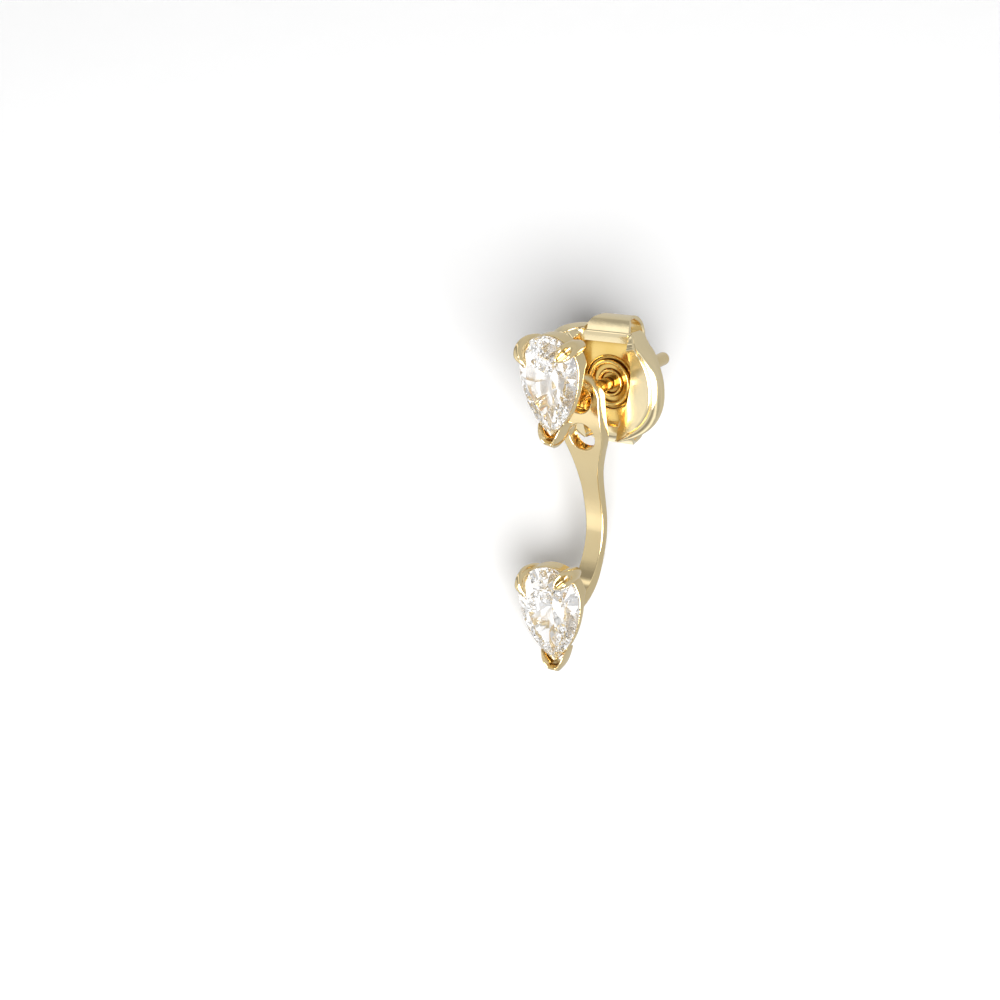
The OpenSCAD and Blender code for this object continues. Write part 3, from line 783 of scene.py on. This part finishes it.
def scrollPath():
    # foot on the band, slanted roof, round ridge, fall at the back and curl, as y and z
    half, step = scroll["sheet"] / 2, scroll["turnStep"]
    bandTop = scroll["reach"] - scroll["band"]
    front, back = floorAt(bandTop) + half, clutch["floor"] + scroll["depth"]
    low = post["radius"] + post["clearance"] + half
    overY, overZ = (back - front) / 2, scroll["reach"] - half - bandTop
    curlY = scroll["depth"] * scroll["curl"]
    curlZ = curlY * scroll["curlTall"]
    ridgeY, ridgeZ = (front + back) / 2, bandTop + overZ
    line = [(front - scroll["footSunk"], clutch["bandStart"] + clutch["bandRun"])]
    line += [(front + y, bandTop + z) for y, z in scroll["foot"]]
    line += [(ridgeY + overY * math.cos(a), bandTop + overZ * math.sin(a))
             for a in (math.radians(d) for d in range(scroll["overFrom"], 89, -step))]
    line += [(ridgeY + overY * math.cos(a), ridgeZ - scroll["backFall"] * (1 - math.sin(a)))
             for a in (math.radians(d) for d in range(90 - step, -1, -step))]
    line += [(back - curlY + curlY * math.cos(a), low + curlZ + curlZ * math.sin(a))
             for a in (math.radians(-d) for d in range(0, scroll["curlEnd"], step))]
    return line


def scrollShape(up):
    line, half = scrollPath(), scroll["sheet"] / 2
    e = scroll["edge"]
    rings, run = [], 0.0
    for i, (y, z) in enumerate(line):
        a, b = line[max(i - 1, 0)], line[min(i + 1, len(line) - 1)]
        run += math.hypot(y - a[0], z - a[1])
        flare = 1 - ease((run - scroll["flareFrom"]) / scroll["flareRun"])
        wide = scroll["width"] / 2 + scroll["flare"] / 2 * flare
        section = [(wide - e, half), (wide, half - e), (wide, -half + e), (wide - e, -half),
                   (-wide + e, -half), (-wide, -half + e), (-wide, half - e), (-wide + e, half)]
        d = Vector((b[0] - a[0], b[1] - a[1])).normalized()
        rings.append([(x, y - d.y * h, up * (z + d.x * h)) for x, h in section])
    return bmeshOf(*skin(rings))


# the mask of the painted recess shade: faces deep in the channel, between its walls and inside the bands
def inChannel(spot):
    deep = spot.y > clutch["floor"] - clutch["bulge"] * clutch["shadeDepth"]
    inside = abs(spot.x) < channelAt(spot.z) + clutch["wall"] * clutch["shadeEdge"]
    return deep and inside and abs(spot.z) < clutch["bandStart"]


plate = place("clutchPlate", plateShape(), clutchGold, "clutch", ["butterfly_back"], 45, even=True)
plate.data.materials.append(recessShadedGold)  # painted shade: the channel's floor gets a darker, deeper gold than the wings, for its recess
for face in plate.data.polygons:
    if inChannel(face.center / mm):
        face.material_index = 1
# the dimple takes the same darker gold, painted shade of its recess
place("clutchDimple", dimpleShape(), recessShadedGold, "clutch", ["butterfly_back"], 60)
place("clutchScrollTop", scrollShape(1), clutchGold, "clutch", ["butterfly_back"], 40, even=True)
place("clutchScrollLow", scrollShape(-1), clutchGold, "clutch", ["butterfly_back"], 40, even=True)
print("clutch stamped")

# Camera at the photograph's angle, worked out from the stone's outline

camera = {"place": (0.05504, -0.08275, 0.02739), "look": (-0.5608, 0.7640, -0.3191),
          "up": (-0.1425, 0.2905, 0.9462),
          "lens": 61.91, "sensor": 36, "near": 0.001, "far": 10}


def makeCamera():
    data = bpy.data.cameras.new("camera")
    data.lens = camera["lens"]
    data.sensor_width = camera["sensor"]
    data.clip_start, data.clip_end = camera["near"], camera["far"]
    obj = bpy.data.objects.new("camera", data)
    bpy.context.scene.collection.objects.link(obj)
    look, up = Vector(camera["look"]).normalized(), Vector(camera["up"])
    right = look.cross(up).normalized()
    up = right.cross(look)
    turn = Matrix((right, up, -look)).transposed()
    obj.matrix_world = Matrix.Translation(camera["place"]) @ turn.to_4x4()
    bpy.context.scene.camera = obj
    return right, up, look


right, up, look = makeCamera()

# Studio: a pale floor, a pale sheet that leans behind, a soft key, the floor's own light and a bright room

studio = {"floorZ": -80 * mm, "floorSize": 0.6, "sheetBack": 7.0 * mm, "sheetSize": 0.06, "sheetDrop": 6 * mm,
          "sheetLean": 16, "skyPower": 2.8, "skyAngle": 90,
          "keySide": 0.01, "keyDown": 0.105, "keyOut": 0.22, "keySize": 0.215, "keyPower": 1.12,
          "keyAim": (0, 0.002, -0.006), "bounces": 32, "glossyBounces": 24}


def quad(name, centre, u, v, half, material):
    corners = [centre + u * a * half + v * b * half for a, b in ((-1, -1), (1, -1), (1, 1), (-1, 1))]
    mesh = bpy.data.meshes.new(name)
    mesh.from_pydata([tuple(c) for c in corners], [], [(0, 1, 2, 3)])
    mesh.materials.append(material)
    obj = bpy.data.objects.new(name, mesh)
    bpy.context.scene.collection.objects.link(obj)
    return obj


floor = quad("floor", Vector((0, 0, studio["floorZ"])), Vector((1, 0, 0)), Vector((0, 1, 0)),
             studio["floorSize"], floorPaper)
lean = math.radians(studio["sheetLean"])
backSheet = quad("backSheet", look * studio["sheetBack"] - Vector((0, 0, studio["sheetDrop"])), right,
                 up * math.cos(lean) + look * math.sin(lean), studio["sheetSize"], sheetPaper)
for stand in (floor, backSheet):
    stand.visible_glossy = False  # the metal and the stones see only the room
    stand.visible_transmission = False


def areaLight(name, spot, target, size, power):
    data = bpy.data.lights.new(name, "AREA")
    data.shape = "DISK"
    data.size = size
    data.energy = power
    obj = bpy.data.objects.new(name, data)
    bpy.context.scene.collection.objects.link(obj)
    obj.location = spot
    obj.rotation_mode = "QUATERNION"
    obj.rotation_quaternion = (Vector(target) - Vector(spot)).to_track_quat("-Z", "Y")
    obj.visible_transmission = False
    return obj


keySpot = right * studio["keySide"] - up * studio["keyDown"] - look * studio["keyOut"]
key = areaLight("key", keySpot, studio["keyAim"], studio["keySize"], studio["keyPower"])
sky = bpy.data.objects.new("sky", bpy.data.lights.new("sky", "SUN"))
sky.data.energy = studio["skyPower"]
sky.data.angle = math.radians(studio["skyAngle"])
sky.visible_glossy = sky.visible_transmission = False
bpy.context.scene.collection.objects.link(sky)


def lightOnly(light, receivers):
    # Blender's light linking: a light shines on these objects alone
    linked = bpy.data.collections.new(light.name + "Receivers")
    for obj in receivers:
        linked.objects.link(obj)
    light.light_linking.receiver_collection = linked


# the key leaves out the stones, whose crowns it would burn out, and the floor, which has its own lamp
unkeyed = (studPear, dropPear, floor)
lightOnly(key, [o for o in bpy.context.scene.objects if o.type == "MESH" and o not in unkeyed])
lightOnly(sky, [floor])

# the room, by direction: a window in front and to the left, a bright strip all round it, and dark flags
# beside the strip; stops run from 0, away from the window, to 1, straight at it, with the brightness there
room = {"backdrop": (0.86, 0.86, 0.86, 1), "onPaper": 0.23, "inStone": 1.85, "window": (-0.50, -0.80, -0.33),
        "stops": [(0.0, 0.56), (0.30, 0.62), (0.47, 0.52), (0.52, 0.30), (0.56, 1.25), (0.60, 1.25),
                  (0.65, 0.30), (0.75, 0.34), (0.82, 0.72), (0.955, 0.78), (0.983, 0.80), (0.990, 1.05),
                  (1.0, 1.25)]}


def makeRoom():
    world = bpy.data.worlds.new("room")
    bpy.context.scene.world = world
    world.use_nodes = True
    nodes, links = world.node_tree.nodes, world.node_tree.links
    background = nodes["Background"]
    coords = nodes.new("ShaderNodeTexCoord")
    toward = nodes.new("ShaderNodeVectorMath")
    toward.operation = "DOT_PRODUCT"
    toward.inputs[1].default_value = Vector(room["window"]).normalized()
    links.new(coords.outputs["Generated"], toward.inputs[0])
    share = nodes.new("ShaderNodeMapRange")
    share.inputs["From Min"].default_value = -1
    links.new(toward.outputs["Value"], share.inputs["Value"])
    ramp = nodes.new("ShaderNodeValToRGB")
    links.new(share.outputs["Result"], ramp.inputs["Fac"])
    stops = room["stops"]
    ramp.color_ramp.elements[0].position = stops[0][0]
    ramp.color_ramp.elements[1].position = stops[-1][0]
    for spot, _ in stops[1:-1]:
        ramp.color_ramp.elements.new(spot)
    for element, (_, value) in zip(ramp.color_ramp.elements, stops):
        element.color = (value, value, value, 1)
    path = nodes.new("ShaderNodeLightPath")
    dim = nodes.new("ShaderNodeMapRange")  # paper is lit mostly by its lamp, so that shadows show
    dim.inputs["To Min"].default_value = 1
    dim.inputs["To Max"].default_value = room["onPaper"]
    links.new(path.outputs["Is Diffuse Ray"], dim.inputs["Value"])
    lift = nodes.new("ShaderNodeMapRange")  # and stones gather more of it than a mirror does
    lift.inputs["To Min"].default_value = 1
    lift.inputs["To Max"].default_value = room["inStone"]
    links.new(path.outputs["Is Transmission Ray"], lift.inputs["Value"])
    strength = nodes.new("ShaderNodeMath")
    strength.operation = "MULTIPLY"
    plain = nodes.new("ShaderNodeMixRGB")  # behind the object the room is plain and pale
    plain.inputs["Color2"].default_value = room["backdrop"]
    links.new(path.outputs["Is Camera Ray"], plain.inputs["Fac"])
    links.new(dim.outputs["Result"], strength.inputs[0])
    links.new(lift.outputs["Result"], strength.inputs[1])
    links.new(ramp.outputs["Color"], plain.inputs["Color1"])
    links.new(plain.outputs["Color"], background.inputs["Color"])
    links.new(strength.outputs["Value"], background.inputs["Strength"])


makeRoom()
scene = bpy.context.scene
scene.view_settings.view_transform = "Standard"
scene.view_settings.look = "None"
scene.cycles.max_bounces = studio["bounces"]  # light goes round many times inside a cut stone
scene.cycles.glossy_bounces = studio["glossyBounces"]
scene.cycles.transmission_bounces = studio["bounces"]
print("studio lit")
